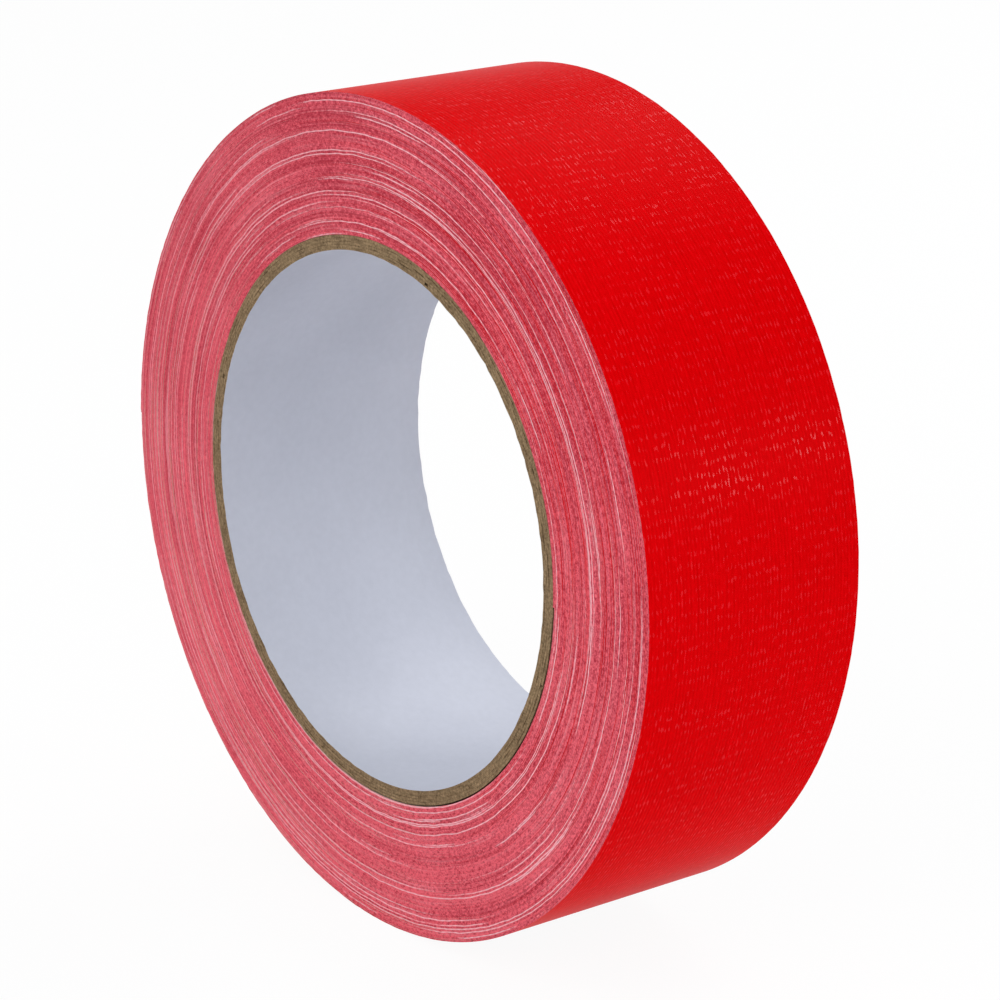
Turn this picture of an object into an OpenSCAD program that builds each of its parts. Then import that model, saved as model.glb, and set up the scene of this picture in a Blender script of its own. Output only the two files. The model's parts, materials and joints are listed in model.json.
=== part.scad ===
// Roll of red cloth tape on a spiral-wound board core, standing on its edge.
// Millimetres. The origin is the centre of the bore at half the roll's width, the roll's
// axis runs along Y and its front face looks towards -Y. Seen from the front, the tape
// winds outwards counter-clockwise, and its free end lies on the far left.

/* [Roll] */
// Width of the roll: the tape and its core are slit together
roll_w = 36; // [12:0.5:100]

/* [Core] */
// Diameter of the bore, which goes over a dispenser hub
bore_d = 76.2; // [25:0.1:80]
// Thickness of the white paper liner
liner_t = 0.3; // [0.15:0.05:0.6]
// Thickness of each kraft ply
ply_t = 0.45; // [0.3:0.05:0.8]
// Number of kraft plies
ply_count = 4; // [2:1:6]
// Width of the butt seam in each kraft ply
seam_w = 0.8; // [0.3:0.1:2]
// Slant of the seams against the roll's axis, in degrees
seam_slant = 58; // [20:1:58]

/* [Tape] */
// Thickness of the coloured film
film_t = 0.07; // [0.05:0.01:0.12]
// Thickness of the woven cloth
cloth_t = 0.09; // [0.06:0.01:0.15]
// Thickness of the adhesive
adhesive_t = 0.05; // [0.03:0.01:0.1]
// Air and texture left between one turn and the next
wind_gap = 0.034; // [0.02:0.002:0.06]
// Gap between the core and the innermost turn
core_gap = 0.05; // [0.02:0.01:0.2]
// Number of full turns, besides the half turn that the winding starts with
turns = 79; // [5:1:110]

/* [Free end] */
// Direction of the tape's end from the axis, in degrees anticlockwise from +X
end_angle = 178; // [120:1:240]
// Length of the free end, from the peel line to the torn edge
end_length = 30; // [10:1:50]
// Slit between the free end and the turn that it peels from
peel_gap = 0.05; // [0.02:0.01:0.2]

/* [Hidden] */
plies = [for (i = [1 : ply_count]) str("core_ply_", i)];
$fn = 180;

kraft = "#82705A";
paper = "#C4C6D0";
red_film = "#D90A0A";
pink_edge = "#D2606C";
bare_cloth = "#EFD9D6";
glue = "#D9B9A8";

bore_r = bore_d / 2;
core_r = bore_r + liner_t + ply_count * ply_t;
tape_t = adhesive_t + cloth_t + film_t;
pitch = tape_t + wind_gap;
last_half = 2 * turns;
winding_r = core_r + core_gap;
end_r = under(last_half) + tape_t;
end_span = end_length / end_r * 180 / PI;
slit_span = peel_gap / end_r * 180 / PI;
clear = 1;

// The tape is a spiral of half turns struck from two centres half a pitch apart.
// This is the radius of the underside of half turn k.
function under(k) = winding_r + k * pitch / 2;

// Heights of the layers above the underside of a turn
adhesive_top = adhesive_t;
cloth_top = adhesive_t + cloth_t;

// Turns a shape drawn about Z so that it lies about the roll's axis, and puts the end at its angle
module on_axis() {
    rotate([90, 0, 0]) rotate(end_angle - 180) children();
}

module ring(inner, outer) {
    difference() {
        circle(outer);
        circle(inner);
    }
}

// The upper or the lower half of a ring of tape, whose lower halves lie half a pitch to the right
module half_ring(upper, inner, outer) {
    reach = outer + clear;
    translate([upper ? 0 : pitch / 2, 0])
        intersection() {
            ring(inner, outer);
            translate([-reach, upper ? 0 : -reach]) square([2 * reach, reach]);
        }
}

// Half turn k, between two heights above its underside
module half_turn(k, low, high) {
    half_ring(k % 2 == 0, under(k) + low, under(k) + high);
}

// A wedge-shaped window about the axis, from one angle to another
module sector(from, to) {
    reach = 2 * end_r;
    polygon([[0, 0],
             [reach * cos(from), reach * sin(from)],
             [reach * cos(to), reach * sin(to)]]);
}

// The turns under the outermost one, each stuck to the one below
module tape_winding() {
    color(pink_edge) on_axis()
        linear_extrude(roll_w, center = true) {
            half_ring(true, under(0), under(last_half - 2) + tape_t);
            half_ring(false, under(1), under(last_half - 3) + tape_t);
        }
}

// One layer of the outermost turn, up to the peel line
module outer_layer(low, high) {
    on_axis()
        linear_extrude(roll_w, center = true) {
            half_turn(last_half - 1, low, high);
            difference() {
                half_turn(last_half, low, high);
                sector(180 - end_span, 180 + end_span);
            }
        }
}

// One layer of the free end, beyond the peel line
module end_layer(low, high) {
    on_axis()
        linear_extrude(roll_w, center = true)
            intersection() {
                half_turn(last_half, low, high);
                sector(180 - end_span + slit_span, 180 + end_span);
            }
}

module outer_turn_adhesive() { color(glue) outer_layer(0, adhesive_top); }
module outer_turn_cloth() { color(bare_cloth) outer_layer(adhesive_top, cloth_top); }
module outer_turn_film() { color(red_film) outer_layer(cloth_top, tape_t); }
module tape_end_adhesive() { color(glue) end_layer(0, adhesive_top); }
module tape_end_cloth() { color(bare_cloth) end_layer(adhesive_top, cloth_top); }
module tape_end_film() { color(red_film) end_layer(cloth_top, tape_t); }

module core_tube(inner, outer) {
    rotate([90, 0, 0])
        linear_extrude(roll_w, center = true) ring(inner, outer);
}

module core_liner() {
    color(paper) core_tube(bore_r, bore_r + liner_t);
}

// A kraft ply, whose slanting edges meet at a butt seam
module core_ply(i) {
    inner = bore_r + liner_t + (i - 1) * ply_t;
    outer = inner + ply_t;
    color(kraft)
        difference() {
            core_tube(inner, outer);
            rotate([90, 0, 0]) rotate(i * 360 / ply_count + 25)
                rotate([seam_slant, 0, 0])
                    translate([0, -seam_w / 2, -2 * outer])
                        cube([outer + clear, seam_w, 4 * outer]);
        }
}

core_liner();
for (i = [1 : ply_count])
    core_ply(i);
tape_winding();
outer_turn_adhesive();
outer_turn_cloth();
outer_turn_film();
tape_end_adhesive();
tape_end_cloth();
tape_end_film();
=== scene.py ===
"""A roll of red cloth tape on a board core, standing on its edge, with a free end that peels.

Lengths are in metres. The origin is the centre of the bore, and the roll's axis runs along Y.
"""

import json
import math
from collections import namedtuple

import bpy
import numpy as np
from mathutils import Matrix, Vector


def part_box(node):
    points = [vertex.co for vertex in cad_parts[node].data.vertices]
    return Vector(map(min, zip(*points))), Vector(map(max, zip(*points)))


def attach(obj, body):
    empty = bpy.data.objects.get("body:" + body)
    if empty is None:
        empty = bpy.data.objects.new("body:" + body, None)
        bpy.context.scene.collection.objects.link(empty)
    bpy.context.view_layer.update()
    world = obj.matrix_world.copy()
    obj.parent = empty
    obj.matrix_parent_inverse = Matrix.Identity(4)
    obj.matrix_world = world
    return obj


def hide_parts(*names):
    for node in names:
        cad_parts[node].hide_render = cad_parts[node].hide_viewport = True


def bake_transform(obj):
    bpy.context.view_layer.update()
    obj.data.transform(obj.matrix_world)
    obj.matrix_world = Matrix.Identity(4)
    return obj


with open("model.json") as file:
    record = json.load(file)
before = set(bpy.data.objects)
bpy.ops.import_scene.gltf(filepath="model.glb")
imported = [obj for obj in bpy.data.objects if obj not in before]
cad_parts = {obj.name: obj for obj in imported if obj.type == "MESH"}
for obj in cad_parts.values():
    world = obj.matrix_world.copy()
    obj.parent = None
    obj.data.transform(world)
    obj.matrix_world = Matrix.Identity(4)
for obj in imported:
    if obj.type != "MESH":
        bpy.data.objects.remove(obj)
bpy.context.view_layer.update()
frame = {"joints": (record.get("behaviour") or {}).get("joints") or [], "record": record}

MM = 0.001

# The roll, from the frame
HALF_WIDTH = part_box("core_liner")[1].y
BORE_RADIUS = frame["record"]["mounts"][0]["dims"]["r_mm"] * MM
LINER_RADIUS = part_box("core_liner")[1].x
PLY_RADII = [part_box(f"core_ply_{number}")[1].x for number in (1, 2, 3, 4)]
FLOOR_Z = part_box("outer_turn_film")[0].z
ROLL_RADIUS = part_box("outer_turn_film")[1].z
HINGE = Vector(frame["joints"][0]["pos_m"])

# The tape's layers, as heights above its sticky side, and one turn's share of the build
ADHESIVE_TOP = 0.05 * MM
CLOTH_TOP = 0.14 * MM
TAPE = 0.21 * MM
PITCH = 0.244 * MM

# The winding, a spiral of half turns struck from two centres
CORE_GAP = 0.05 * MM
WINDING_RADIUS = PLY_RADII[-1] + CORE_GAP
LAST_HALF = 158
END_ANGLE = math.radians(178)
LEAN = END_ANGLE - math.pi
WINDING_ROWS = 150
WOUND_THICKNESS = 0.98 * PITCH

# The free end, whose rows are crowded just past the hinge
PEEL_ANGLE = math.atan2(HINGE.z, HINGE.x)
END_ROWS = 48
END_CROWDING = 1.7
TEAR_DIRECTION = np.array([math.sin(END_ANGLE), 0, -math.cos(END_ANGLE)])

# The scrim's threads: ribs run along the tape, and weft crosses it
RIBS = 60
RIB_PITCH = 2 * HALF_WIDTH / RIBS
RIB_HEIGHT = 0.004 * MM
RIB_WAVE = 2 * math.pi / RIB_PITCH
WEFT_WAVE = 2 * math.pi / (1.57 * MM)

# The core's tubes
TUBE_STEPS = 240
TUBE_COLUMNS = 12
SEAM_LEAN = 0.75
PLY_SEAM = 0.8 * MM
LINER_SEAM = 0.2 * MM
LINER_SEAM_ANGLE = 0.3

SMOOTH_ANGLE = math.radians(40)
FLOOR_RADIUS = 2.5
EDGE = 0.999
TINY = 1e-6

# Where each side of a strip lies on its square sheet for baking: from, to, and the lines it is cut into
WINDING_BANDS = {
    "front": (0.0, 0.43, 79),
    "back": (0.435, 0.865, 79),
    "outer": (0.87, 0.90, 79),
    "inner": (0.905, 0.935, 79),
    "last": (0.94, 0.985, 1),
    "caps": (0.99, 1.0, 1),
}
TURN_BANDS = {
    "outer": (0.0, 0.80, 4),
    "inner": (0.81, 0.90, 1),
    "front": (0.91, 0.935, 1),
    "back": (0.945, 0.97, 1),
    "caps": (0.98, 1.0, 1),
}
END_BANDS = {
    "outer": (0.0, 0.44, 1),
    "inner": (0.45, 0.89, 1),
    "front": (0.90, 0.93, 1),
    "back": (0.94, 0.97, 1),
    "caps": (0.975, 1.0, 1),
}
PLY_BANDS = {
    "front": (0.0, 0.3, 4),
    "back": (0.31, 0.61, 4),
    "outer": (0.62, 0.79, 1),
    "inner": (0.80, 0.96, 1),
    "caps": (0.97, 1.0, 1),
}
LINER_BANDS = {
    "inner": (0.0, 0.6, 2),
    "outer": (0.61, 0.75, 1),
    "front": (0.76, 0.85, 2),
    "back": (0.86, 0.95, 2),
    "caps": (0.96, 1.0, 1),
}

# A strip and, for each of its points, its row and how far it is along the strip and across it
Strip = namedtuple("Strip", "piece row along across")

# A layer of the tape. tear is how far the torn edge is cut in, in millimetres.
Layer = namedtuple("Layer", "name low high slot finishes columns rows tear")


# ---------------------------------------------------------------- camera and lamps


def facing(spot, aim):
    """The turn that makes a camera or a lamp at one place look at another"""
    return (aim - spot).to_track_quat("-Z", "Y").to_euler()


def add_camera():
    """A long lens, a little above the roll and to its right"""
    spot = Vector((0.39605, -0.3009, 0.1566))
    aim = Vector((0.00205, 0.0027, -0.0002))
    bpy.ops.object.camera_add(location=spot, rotation=facing(spot, aim))
    camera = bpy.context.object
    camera.data.lens = 132.79
    camera.data.sensor_width = 36
    bpy.context.scene.camera = camera


def add_lamp(name, spot, size, power):
    """A square soft lamp that faces the roll"""
    spot = Vector(spot)
    bpy.ops.object.light_add(type="AREA", location=spot, rotation=facing(spot, Vector()))
    lamp = bpy.context.object
    lamp.name = name
    lamp.data.size = size
    lamp.data.energy = power


# ---------------------------------------------------------------- shader maths


class Signal:
    """A socket of a node. Sums on it add Math nodes."""

    def __init__(self, nodes, socket):
        self.nodes = nodes
        self.socket = socket

    def math(self, operation, *values):
        return self.nodes.node("Math", {"operation": operation}, dict(enumerate(values)))

    def __add__(self, other):
        return self.math("ADD", self, other)

    __radd__ = __add__

    def __sub__(self, other):
        return self.math("SUBTRACT", self, other)

    def __rsub__(self, other):
        return self.math("SUBTRACT", other, self)

    def __mul__(self, other):
        return self.math("MULTIPLY", self, other)

    __rmul__ = __mul__

    def sine(self):
        return self.math("SINE", self)

    def highest(self, other):
        return self.math("MAXIMUM", self, other)

    def above(self, edge, softness):
        """0 below an edge, 1 above it, with a soft step between"""
        settings = {"interpolation_type": "SMOOTHSTEP"}
        sockets = {"Value": self, "From Min": edge - softness, "From Max": edge + softness}
        return self.nodes.node("MapRange", settings, sockets)


class Nodes:
    """The nodes of a finish or of the world"""

    def __init__(self, tree):
        self.tree = tree

    def node(self, kind, settings=None, sockets=None, output=0):
        """Adds a node: its settings come first, then the values or links of its sockets"""
        made = self.tree.nodes.new("ShaderNode" + kind)
        for key, value in (settings or {}).items():
            setattr(made, key, value)
        for key, value in (sockets or {}).items():
            self.feed(made.inputs[key], value)
        return Signal(self, made.outputs[output])

    def feed(self, socket, value):
        if isinstance(value, Signal):
            self.tree.links.new(value.socket, socket)
        elif socket.type == "RGBA":
            socket.default_value = (*value, 1)
        else:
            socket.default_value = value

    def shown_white(self):
        """1 where the lens, a mirror or a clear thing would show the surroundings, 0 where they give light"""
        rays = ("Is Camera Ray", "Is Glossy Ray", "Is Transmission Ray")
        return sum(self.node("LightPath", output=ray) for ray in rays)


class Finish(Nodes):
    """A material and the nodes that make it"""

    def __init__(self, name):
        self.material = bpy.data.materials.new(name)
        self.material.use_nodes = True
        super().__init__(self.material.node_tree)
        self.shader = self.one("BSDF_PRINCIPLED")

    def one(self, kind):
        return next(node for node in self.tree.nodes if node.type == kind)

    def set(self, **sockets):
        """Feeds the surface shader's own sockets, named with underscores for spaces"""
        for key, value in sockets.items():
            self.feed(self.shader.inputs[key.replace("_", " ")], value)

    def place(self):
        return self.node("TexCoord", output="Object")

    def part_of(self, vector, axis):
        return self.node("SeparateXYZ", None, {0: vector}, axis)

    def strip(self):
        """Metres along the strip, and metres across it"""
        flat = self.node("UVMap", {"uv_map": "Strip"})
        return self.part_of(flat, "X"), self.part_of(flat, "Y")

    def depth(self):
        """1 on the outer side of a strip, 0 on its inner side"""
        return self.node("Attribute", {"attribute_name": "depth"}, output="Fac")

    def noise(self, vector, scale, detail=2.0, roughness=0.5):
        sockets = {"Vector": vector, "Scale": scale, "Detail": detail, "Roughness": roughness}
        return self.node("TexNoise", None, sockets)

    def strip_noise(self, x, y, detail, z=0.0):
        """Noise with its own scale along the strip and across it"""
        return self.noise(self.node("CombineXYZ", None, {0: x, 1: y, 2: z}), 1.0, detail)

    def noise_along(self, place, scale, detail):
        sockets = {"W": place, "Scale": scale, "Detail": detail}
        return self.node("TexNoise", {"noise_dimensions": "1D"}, sockets)

    def mix(self, factor, first, second):
        return self.node("Mix", {"data_type": "RGBA"}, {0: factor, 6: first, 7: second}, 2)

    def bump(self, height, distance):
        return self.node("Bump", None, {"Strength": 1.0, "Distance": distance, "Height": height})


# ---------------------------------------------------------------- finishes


def film_finish(name):
    """Red film, whose face shows the threads of the cloth as fine ribs and glints where they cross"""
    deep_red = (0.60, 0.0, 0.0005)
    bright_red = (0.84, 0.0005, 0.003)
    glint_red = (0.95, 0.06, 0.10)
    finish = Finish(name)
    along, across = finish.strip()
    rib = (across * RIB_WAVE).sine()
    drift = finish.strip_noise(along * 140, across * 500, 1.0)
    weft = (along * WEFT_WAVE + drift * 2.5).sine()
    streaks = finish.strip_noise(along * 130, across * 2400, 2.0) - 0.5
    specks = finish.strip_noise(along * 900, across * 2600, 1.0)
    clouds = finish.noise(finish.place(), 22.0) - 0.5
    patches = finish.strip_noise(along * 260, across * 110, 2.0).above(0.47, 0.16)
    crossings = (specks + weft * 0.09 + rib * 0.09).above(0.68, 0.06) * patches
    shade = clouds * 0.4 + streaks * 0.8 + (specks - 0.5) * 0.9 + rib * 0.15 + 0.5
    colour = finish.mix(shade, deep_red, bright_red)
    threads = rib * (weft * 0.1 + 0.25) + weft * 0.04
    height = threads + streaks * 0.45 + (specks - 0.5) * 0.4 + crossings * 0.7
    finish.set(
        # Painted glints: paler red spots where the threads cross, next to the real glints from the coat
        Base_Color=finish.mix(crossings * 0.12, colour, glint_red),
        Roughness=0.34,
        Specular_IOR_Level=0.004,
        Coat_Weight=crossings * 0.14,
        Coat_Roughness=0.18,
        Normal=finish.bump(height, 0.025 * MM),
    )
    return finish


def slit_finish(name):
    """The cut edges of the turns: red film, pink cloth and pale threads. Their grain and threads have more
    contrast on one side of the roll, which is painted grazing light; they are paler towards the bottom, which
    is painted light; and pale patches on them are painted sheen.
    """
    deep_pink = (0.40, 0.020, 0.042)
    light_pink = (0.84, 0.130, 0.17)
    sheen_pink = (0.93, 0.40, 0.45)
    thread_pink = (0.95, 0.56, 0.61)
    finish = Finish(name)
    along, across = finish.strip()
    depth = finish.depth()
    place = finish.place()
    # Painted light: grain and pale threads get more contrast towards the right, where light grazes, and less
    # towards the left, where sheen falls
    painted_grazing_contrast = finish.part_of(place, "X").above(-0.022, 0.035) * 0.6 + 0.4
    # Painted light: the faces are made paler towards the bottom, standing in for light that falls there
    low = finish.part_of(place, "Z") * -5
    grain = finish.noise(place, 4300.0, 2.0, 0.7)
    clouds = finish.noise(place, 60.0)
    # The two faces of the roll take different stretches of the same noise
    side = along + across * 40
    fine = finish.noise_along(side, 1150.0, 2.0)
    tone = finish.noise_along(side, 9.0, 2.0)
    crossing = (side * WEFT_WAVE).sine()
    ragged = (grain - 0.5) * 0.06 + crossing * 0.006
    long_threads = (finish.noise_along(side, 6.5, 0.0) + ragged).above(0.675, 0.05)
    short_threads = (finish.noise_along(side + 90, 24.0, 1.0) + ragged).above(0.715, 0.04)
    wander = depth + (finish.noise_along(side, 330.0, 1.0) - 0.5) * 0.9
    woven = wander.above(0.15, 0.15) * (1 - wander.above(0.85, 0.15))
    lines = long_threads.highest(short_threads) * (crossing * 0.12 + 0.72) * woven
    # Painted sheen: pale pink patches on the slit faces
    smears_and_sheen = finish.strip_noise(along * 45, depth * 0.3, 1.0).above(0.60, 0.12) * clouds.above(0.45, 0.15)
    shade = (grain - 0.5) * painted_grazing_contrast * 2.3 + (fine - 0.5) * painted_grazing_contrast * 1.8
    shade = shade + (tone - 0.5) * 1.2 + (clouds - 0.5) * 0.5
    # low * 0.55 is the painted light towards the bottom
    shade = shade + (0.5 - depth) * 0.25 + low * 0.55 + 0.55
    colour = finish.mix(shade, deep_pink, light_pink)
    colour = finish.mix(smears_and_sheen * 0.22, colour, sheen_pink)
    finish.set(
        Base_Color=finish.mix(lines * painted_grazing_contrast, colour, thread_pink),
        Roughness=0.75,
        Specular_IOR_Level=0.2,
        Normal=finish.bump(grain * painted_grazing_contrast + depth * 0.3, 0.05 * MM),
    )
    return finish


def cloth_finish(name):
    """Open scrim of off-white threads, with the film's red behind it"""
    film_red = (0.62, 0.09, 0.10)
    thread_white = (0.83, 0.72, 0.68)
    finish = Finish(name)
    along, across = finish.strip()
    threads = (across * RIB_WAVE).sine().highest((along * WEFT_WAVE).sine())
    finish.set(
        Base_Color=finish.mix(threads.above(0.3, 0.3), film_red, thread_white),
        Roughness=0.9,
        Specular_IOR_Level=0.1,
        Normal=finish.bump(threads, 0.04 * MM),
    )
    return finish


def adhesive_finish(name):
    """Sticky pale rubber, pressed into the weave"""
    dark_rubber = (0.70, 0.42, 0.36)
    light_rubber = (0.80, 0.56, 0.48)
    thread_white = (0.88, 0.76, 0.70)
    finish = Finish(name)
    along, across = finish.strip()
    rib = (across * RIB_WAVE).sine()
    weft = (along * WEFT_WAVE).sine()
    smears_and_sheen = finish.noise(finish.place(), 180.0, 3.0)
    colour = finish.mix(smears_and_sheen, dark_rubber, light_rubber)
    finish.set(
        Base_Color=finish.mix(rib.highest(weft).above(0.6, 0.3) * 0.35, colour, thread_white),
        Roughness=smears_and_sheen * 0.3 + 0.25,
        Normal=finish.bump(rib * 0.4 + weft * 0.4 + smears_and_sheen, 0.03 * MM),
    )
    return finish


def kraft_finish(name):
    """Olive brown board with long fibres, darker along the outer side of each ply"""
    dark_brown = (0.09, 0.056, 0.027)
    light_brown = (0.38, 0.262, 0.145)
    finish = Finish(name)
    place = finish.place()
    along, across = finish.strip()
    depth = finish.depth()
    # Darker along the outer side of each ply
    outer_side_dark = depth.above(0.86, 0.1)
    fibres = finish.strip_noise(along * 500, across * 3000, 3.0, depth * 1.5)
    grain = finish.noise(place, 2400.0, 3.0, 0.7)
    blotch = finish.noise(place, 420.0)
    shade = (fibres - 0.5) * 0.9 + (grain - 0.5) * 1.9 + (blotch - 0.5) * 0.5 + 0.5 - outer_side_dark * 0.35
    finish.set(
        Base_Color=finish.mix(shade, dark_brown, light_brown),
        Roughness=0.9,
        Specular_IOR_Level=0.15,
        Normal=finish.bump(grain + fibres, 0.08 * MM),
    )
    return finish


def paper_finish(name):
    """Smooth bluish white lining paper"""
    dull_white = (0.43, 0.45, 0.52)
    clean_white = (0.61, 0.63, 0.71)
    finish = Finish(name)
    place = finish.place()
    clouds = finish.noise(place, 24.0, 3.0)
    fibres = finish.noise(place, 900.0, 3.0)
    shade = (clouds - 0.5) * 1.2 + (fibres - 0.5) * 0.3 + 0.5
    finish.set(
        Base_Color=finish.mix(shade, dull_white, clean_white),
        Roughness=0.55,
        Specular_IOR_Level=0.3,
        Normal=finish.bump(fibres + clouds * 3, 0.02 * MM),
    )
    return finish


def floor_finish(name):
    """White floor, which shows white with only the roll's shadow on it"""
    finish = Finish(name)
    finish.set(Base_Color=(1.0, 1.0, 1.0), Roughness=0.9, Specular_IOR_Level=0.1)
    glow = finish.node("Emission", None, {"Color": (1, 1, 1), "Strength": 1.0})
    share = finish.shown_white() * 0.94
    lit = Signal(finish, finish.shader.outputs[0])
    mixed = finish.node("MixShader", None, {0: share, 1: lit, 2: glow})
    finish.feed(finish.one("OUTPUT_MATERIAL").inputs["Surface"], mixed)
    return finish


def light_world():
    """Soft bluish daylight from all round, which shows as plain white behind the roll"""
    world = bpy.data.worlds.new("studio")
    bpy.context.scene.world = world
    world.use_nodes = True
    world.node_tree.nodes.clear()
    studio = Nodes(world.node_tree)
    daylight = studio.node("Background", None, {"Color": (0.95, 0.97, 1.0), "Strength": 0.42})
    white = studio.node("Background", None, {"Color": (1, 1, 1), "Strength": 1.0})
    mixed = studio.node("MixShader", None, {0: studio.shown_white(), 1: daylight, 2: white})
    output = studio.tree.nodes.new("ShaderNodeOutputWorld")
    studio.feed(output.inputs["Surface"], mixed)


# ---------------------------------------------------------------- points


def points_of(piece):
    points = np.zeros(len(piece.data.vertices) * 3)
    piece.data.vertices.foreach_get("co", points)
    return points.reshape(-1, 3)


def set_points(piece, points):
    piece.data.vertices.foreach_set("co", points.ravel())
    piece.data.update()


def radius_of(points):
    return np.hypot(points[:, 0], points[:, 2])


def scale_about_axis(points, factor):
    """Moves points nearer to the roll's axis or further from it"""
    points[:, 0] *= factor
    points[:, 2] *= factor


def pick(piece, test):
    """Selects the points of a piece that pass a test of their place"""
    bpy.ops.object.mode_set(mode="OBJECT")
    for group in (piece.data.polygons, piece.data.edges):
        group.foreach_set("select", np.zeros(len(group), bool))
    for point in piece.data.vertices:
        point.select = test(point.co)
    bpy.ops.object.mode_set(mode="EDIT")


def wave(values, seed, octaves=1):
    """Smooth noise between -1 and 1 along a line, one bump to a unit, and finer bumps on it"""
    total = np.zeros_like(values)
    for octave in range(octaves):
        rng = np.random.default_rng(seed + octave)
        scaled = (values - values.min()) * 2**octave
        knots = rng.uniform(-1, 1, int(scaled.max()) + 3)
        cell = np.floor(scaled).astype(int)
        part = scaled - cell
        part = part * part * (3 - 2 * part)
        total += (knots[cell] * (1 - part) + knots[cell + 1] * part) / 2**octave
    return total


# ---------------------------------------------------------------- strips and tubes


def wind(name, first, last, top, columns, rows, start=0.0, stop=math.pi, crowding=1.0):
    """Winds a flat strip from half turn first to half turn last, with its outer face at a height in the tape.

    rows is the number of rows to a half turn. A crowding above 1 packs them towards the start.
    """
    halves = []
    angles = []
    for half in range(first, last + 1):
        low = start if half == first else 0.0
        high = stop if half == last else math.pi
        count = max(1, round(rows * (high - low) / math.pi))
        halves += [half] * count
        angles += [low + (high - low) * (step / count) ** crowding for step in range(count)]
    halves = np.array(halves + [last])
    angles = np.array(angles + [stop])
    count = len(halves) - 1
    bpy.ops.object.select_all(action="DESELECT")
    bpy.ops.mesh.primitive_grid_add(x_subdivisions=count, y_subdivisions=columns, size=2 * HALF_WIDTH)
    piece = bpy.context.object
    piece.name = name
    piece.data.name = name
    points = points_of(piece)
    row = np.rint((points[:, 0] / HALF_WIDTH + 1) / 2 * count).astype(int)
    radius = WINDING_RADIUS + halves * PITCH / 2 + top
    turned = angles + (halves % 2) * math.pi + LEAN
    aside = (halves % 2) * PITCH / 2
    points[:, 0] = (radius * np.cos(turned) + aside * math.cos(LEAN))[row]
    points[:, 2] = (radius * np.sin(turned) + aside * math.sin(LEAN))[row]
    set_points(piece, points)
    lengths = np.concatenate([[0.0], np.cumsum(radius[:-1] * (np.diff(turned) % math.pi))])
    return Strip(piece, row, lengths[row], points[:, 1].copy())


def lay_line(name, radius, angle):
    """Lays a leaning row of points across the core and selects it, ready to be spun round the roll's axis"""
    bpy.ops.object.select_all(action="DESELECT")
    bpy.ops.mesh.primitive_grid_add(x_subdivisions=1, y_subdivisions=TUBE_COLUMNS, size=2 * HALF_WIDTH)
    line = bpy.context.object
    line.name = name
    line.data.name = name
    pick(line, lambda co: co.x < 0)
    bpy.ops.mesh.delete(type="VERT")
    bpy.ops.object.mode_set(mode="OBJECT")
    points = points_of(line)
    turned = angle + SEAM_LEAN * points[:, 1] / HALF_WIDTH
    points[:, 0] = radius * np.cos(turned)
    points[:, 2] = radius * np.sin(turned)
    set_points(line, points)
    bpy.ops.object.mode_set(mode="EDIT")
    bpy.ops.mesh.select_all(action="SELECT")
    return line


def give_strip_map(piece, along, across):
    """Maps the strip flat, in metres along it and across it"""
    layer = piece.data.uv_layers.new(name="Strip")
    corner = np.zeros(len(piece.data.loops), int)
    piece.data.loops.foreach_get("vertex_index", corner)
    layer.data.foreach_set("uv", np.stack([along[corner], across[corner]], 1).ravel())


def give_bake_map(piece, row, across, bands):
    """Lays the faces of a thickened strip out on a square sheet for baking, each side of it in its band"""
    count = len(row)
    corner = np.zeros(len(piece.data.loops), int)
    piece.data.loops.foreach_get("vertex_index", corner)
    corner = corner.reshape(-1, 4)
    side = np.zeros(len(corner), int)
    piece.data.polygons.foreach_get("material_index", side)
    rows = row[corner % count]
    width = (across[corner % count] / HALF_WIDTH + 1) / 2
    depth = (corner < count).astype(float)
    first = rows.min(axis=1, keepdims=True)
    capped = np.ptp(rows, axis=1) == 0
    turn_rows = row.max() / bands["outer"][2]
    last_turn = first[:, 0] >= row.max() - turn_rows
    groups = {
        "outer": (side == 0) & ~last_turn,
        "last": (side == 0) & last_turn,
        "inner": side == 1,
        "front": (side == 2) & ~capped & (width.mean(axis=1) < 0.5),
        "back": (side == 2) & ~capped & (width.mean(axis=1) > 0.5),
        "caps": (side == 2) & capped,
    }
    margin = 0.002
    inset = 0.02
    flat = np.zeros((*corner.shape, 2))
    for name, chosen in groups.items():
        low, high, lines = bands.get(name, bands["outer"])
        length = math.ceil(row.max() / lines)
        line = first // length
        if name == "last" and name in bands:
            line = 0 * first
            along_line = (rows - row.max()) / turn_rows + 1
        elif name == "caps":
            line = 0 * first
            along_line = width
        else:
            along_line = (rows - line * length) / length
        through = width if name in ("outer", "inner", "last") else depth
        sideways = margin + (1 - 2 * margin) * along_line
        upwards = low + (high - low) * (line + inset + (1 - 2 * inset) * through) / lines
        flat[..., 0] = np.where(chosen[:, None], sideways, flat[..., 0])
        flat[..., 1] = np.where(chosen[:, None], upwards, flat[..., 1])
    layer = piece.data.uv_layers.new(name="OFBake")
    layer.data.foreach_set("uv", flat.ravel())


def thicken(piece, thickness, finishes):
    """Gives a strip its thickness inwards. The finishes are those of its outer face, inner face and rim."""
    for finish in finishes:
        piece.data.materials.append(finish.material)
    face = piece.data.polygons[0]
    if face.normal.dot(face.center * Vector((1, 0, 1))) < 0:
        piece.data.flip_normals()
    wall = piece.modifiers.new("Wall", "SOLIDIFY")
    wall.thickness = thickness
    wall.offset = -1
    wall.material_offset = 1
    wall.material_offset_rim = 2
    bpy.context.view_layer.objects.active = piece
    bpy.ops.object.modifier_apply(modifier="Wall")


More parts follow.
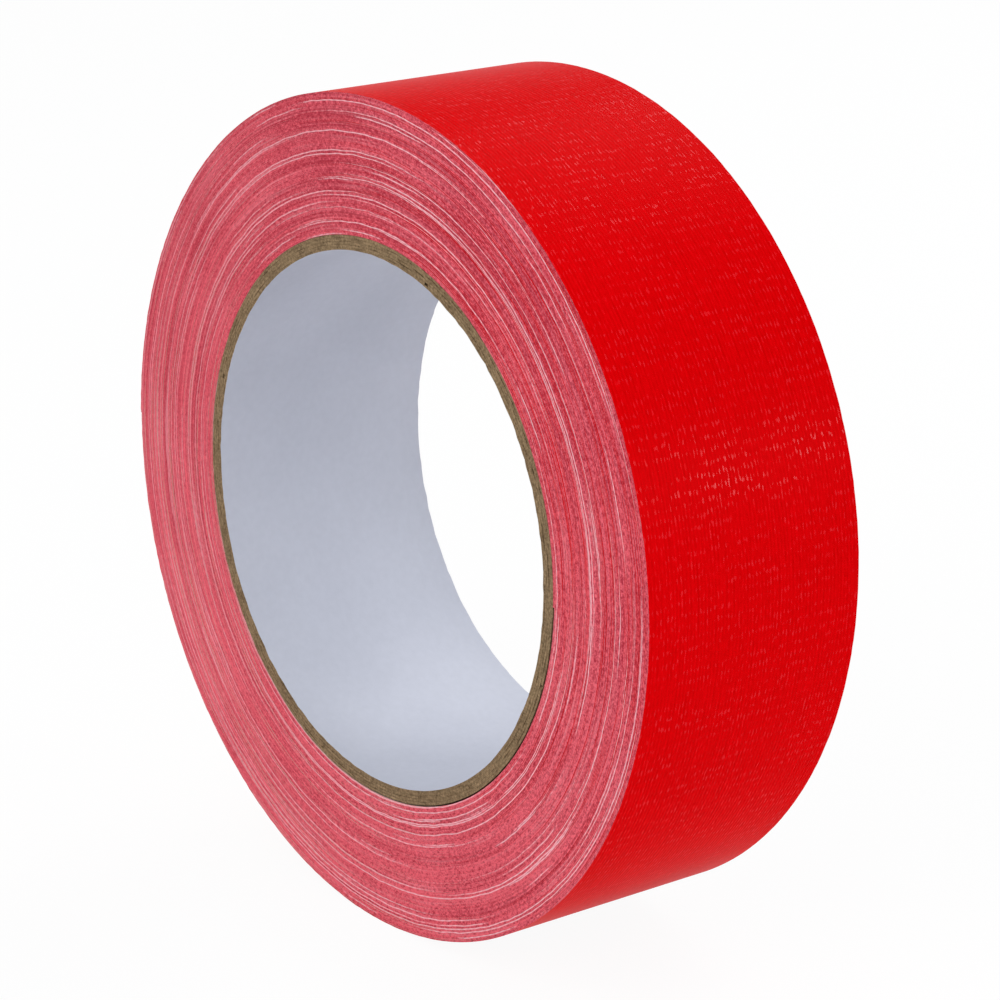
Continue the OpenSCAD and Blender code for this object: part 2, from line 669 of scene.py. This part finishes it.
def give_depth(piece, count, outer=1.0, inner=0.0):
    """Marks the first count points, on the outer side, and the rest with their depth in the tape or board"""
    values = np.full(len(piece.data.vertices), inner, np.float32)
    values[:count] = outer
    attribute = piece.data.attributes.new("depth", "FLOAT", "POINT")
    attribute.data.foreach_set("value", values)


def smooth(piece):
    bpy.ops.object.select_all(action="DESELECT")
    piece.select_set(True)
    bpy.context.view_layer.objects.active = piece
    bpy.ops.object.shade_smooth_by_angle(angle=SMOOTH_ANGLE)


# ---------------------------------------------------------------- pieces


def dent(points):
    """Makes the turns waver together, so that none of them crosses the next"""
    radius = radius_of(points)
    angle = np.arctan2(points[:, 2], points[:, 0]) + math.pi
    under_rim = np.clip((ROLL_RADIUS - 0.6 * MM - radius) / (2 * MM), 0, 1)
    over_core = np.clip((radius - WINDING_RADIUS - 0.3 * MM) / (2 * MM), 0, 1)
    ripple = np.sin(angle * 37 + radius / MM * 1.1) * wave(angle * 9, 33)
    waver = 0.05 * wave(angle * 14, 31, 2) + 0.05 * ripple
    scale_about_axis(points, 1 + under_rim * over_core * waver * MM / radius)


def make_winding():
    """Makes the turns under the outermost one, as the one long strip that they are, and gives its length"""
    piece, row, along, across = wind("tape_winding_strip", 0, LAST_HALF - 2, TAPE, 1, WINDING_ROWS)
    points = points_of(piece)
    side = np.sign(across)
    turn = along / along.max() * (LAST_HALF - 1) / 2
    sway = 0.04 * wave(turn / 3.0, 11, 2) + 0.008 * wave(along / (60 * MM), 12, 2)
    points[:, 1] += side * MM * sway
    dent(points)
    set_points(piece, points)
    give_strip_map(piece, along, across)
    thicken(piece, WOUND_THICKNESS, [FILM, ADHESIVE, SLIT])
    give_bake_map(piece, row, across, WINDING_BANDS)
    count = len(along)
    points = points_of(piece)
    tilt = 0.06 * wave(along / (15 * MM), 21, 3) - 0.02
    points[count:, 1] += (side * MM * tilt)[: len(points) - count]
    set_points(piece, points)
    give_depth(piece, count)
    smooth(piece)
    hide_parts("tape_winding")
    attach(piece, "roll")
    return along.max()


def finish_strip(layer, strip, node, offset, bands, torn=False):
    """Roughens a strip's slit edges, ribs its film, tears its tip, and gives it its thickness and finishes.

    offset is the length of tape before the strip.
    """
    piece, row, along, across = strip
    points = points_of(piece)
    ragged = 0.035 * wave((along + offset) / (0.9 * MM), 41, 2) - 0.02
    slit = np.abs(across) > EDGE * HALF_WIDTH
    points[:, 1] += np.where(slit, np.sign(across) * ragged * MM, 0)
    if layer.name == "film":
        rib = RIB_HEIGHT * np.cos(RIB_WAVE * across)
        scale_about_axis(points, 1 - (RIB_HEIGHT - rib) / radius_of(points))
    if torn:
        bites = 0.4 * wave(across / (0.35 * MM), 51, 2) + 0.3 * wave(across / (5 * MM), 52)
        cut = np.where(along > along.max() - TINY, np.clip(layer.tear * (0.6 + bites), 0, 1), 0)
        points += cut[:, None] * MM * TEAR_DIRECTION
    set_points(piece, points)
    give_strip_map(piece, along + offset, across)
    thicken(piece, layer.high - layer.low, layer.finishes)
    give_bake_map(piece, row, across, bands)
    give_depth(piece, len(along), layer.high / TAPE, layer.low / TAPE)
    smooth(piece)
    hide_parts(node)


def make_layer(layer, wound):
    """Makes a layer of the outermost turn and of the free end, whose rows are crowded towards the peel line.

    wound is the length of tape under them.
    """
    peel = PEEL_ANGLE - LEAN
    name = f"outer_turn_{layer.name}"
    turn = wind(f"{name}_strip", LAST_HALF - 1, LAST_HALF, layer.high, layer.columns, layer.rows, 0.0, peel)
    finish_strip(layer, turn, name, wound, TURN_BANDS)
    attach(turn.piece, "roll")

    name = f"tape_end_{layer.name}"
    rows = round(END_ROWS * math.pi / (math.pi - peel))
    last = LAST_HALF
    end = wind(f"{name}_strip", last, last, layer.high, layer.columns, rows, peel, math.pi, END_CROWDING)
    finish_strip(layer, end, name, wound + turn.along.max(), END_BANDS, torn=True)
    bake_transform(end.piece)


def make_tube(name, node, inner, outer, finishes, seam, gap, bands):
    """A strip of paper or board bent once round the core, whose slanting edges meet at a seam"""
    piece = lay_line(name, outer, seam)
    bpy.ops.mesh.spin(steps=TUBE_STEPS, angle=2 * math.pi - gap / outer, center=(0, 0, 0), axis=(0, -1, 0))
    bpy.ops.object.mode_set(mode="OBJECT")
    points = points_of(piece)
    count = len(points)
    row = np.arange(count) // (TUBE_COLUMNS + 1)
    along = row * 2 * math.pi * outer / TUBE_STEPS
    across = points[:, 1].copy()
    rough = 0.07 * wave(along / (1.2 * MM), int(outer * 1e6) % 1000, 3) - 0.08
    ends = np.abs(across) > EDGE * HALF_WIDTH
    points[:, 1] += np.where(ends, np.sign(across) * MM * rough, 0)
    set_points(piece, points)
    give_strip_map(piece, along, across)
    thicken(piece, outer - inner, finishes)
    give_bake_map(piece, row, across, bands)
    give_depth(piece, count)
    smooth(piece)
    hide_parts(node)
    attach(piece, "roll")


def make_core():
    """The kraft plies, whose seams are a quarter turn apart, and the paper that lines them"""
    inner = LINER_RADIUS
    for number, outer in enumerate(PLY_RADII, 1):
        name = f"core_ply_{number}"
        seam = math.radians(23 + 90 * number)
        finishes = [KRAFT, KRAFT, KRAFT]
        make_tube(f"{name}_board", name, inner, outer, finishes, seam, PLY_SEAM, PLY_BANDS)
        inner = outer
    make_tube(
        "core_liner_sheet", "core_liner", BORE_RADIUS, LINER_RADIUS, [KRAFT, PAPER, KRAFT],
        LINER_SEAM_ANGLE, LINER_SEAM, LINER_BANDS,
    )


def add_floor():
    spot = (0, 0, FLOOR_Z)
    bpy.ops.mesh.primitive_circle_add(vertices=96, radius=FLOOR_RADIUS, fill_type="NGON", location=spot)
    floor = bpy.context.object
    floor.name = "floor"
    floor.data.materials.append(floor_finish("floor_white").material)


add_camera()
add_lamp("key lamp", (0.25, -0.7, 0.65), 0.7, 5)
add_lamp("top lamp", (-0.25, 0.65, 0.7), 0.6, 3.5)
add_lamp("side lamp", (0.75, 0.60, 0.20), 0.2, 1.6)

FILM = film_finish("red_film")
SLIT = slit_finish("slit_edge")
CLOTH = cloth_finish("scrim_cloth")
ADHESIVE = adhesive_finish("adhesive")
KRAFT = kraft_finish("kraft_board")
PAPER = paper_finish("liner_paper")

LAYERS = [
    Layer("film", CLOTH_TOP, TAPE, "red_film", [FILM, FILM, SLIT], 2 * RIBS, 180, 0.5),
    Layer("cloth", ADHESIVE_TOP, CLOTH_TOP, "scrim_cloth", [CLOTH, CLOTH, SLIT], 120, 90, 0.15),
    Layer("adhesive", 0.0, ADHESIVE_TOP, "adhesive", [ADHESIVE, ADHESIVE, SLIT], 60, 90, 0.6),
]

wound = make_winding()
for layer in LAYERS:
    make_layer(layer, wound)
make_core()
add_floor()

scene = bpy.context.scene
scene.view_settings.view_transform = "Standard"
light_world()
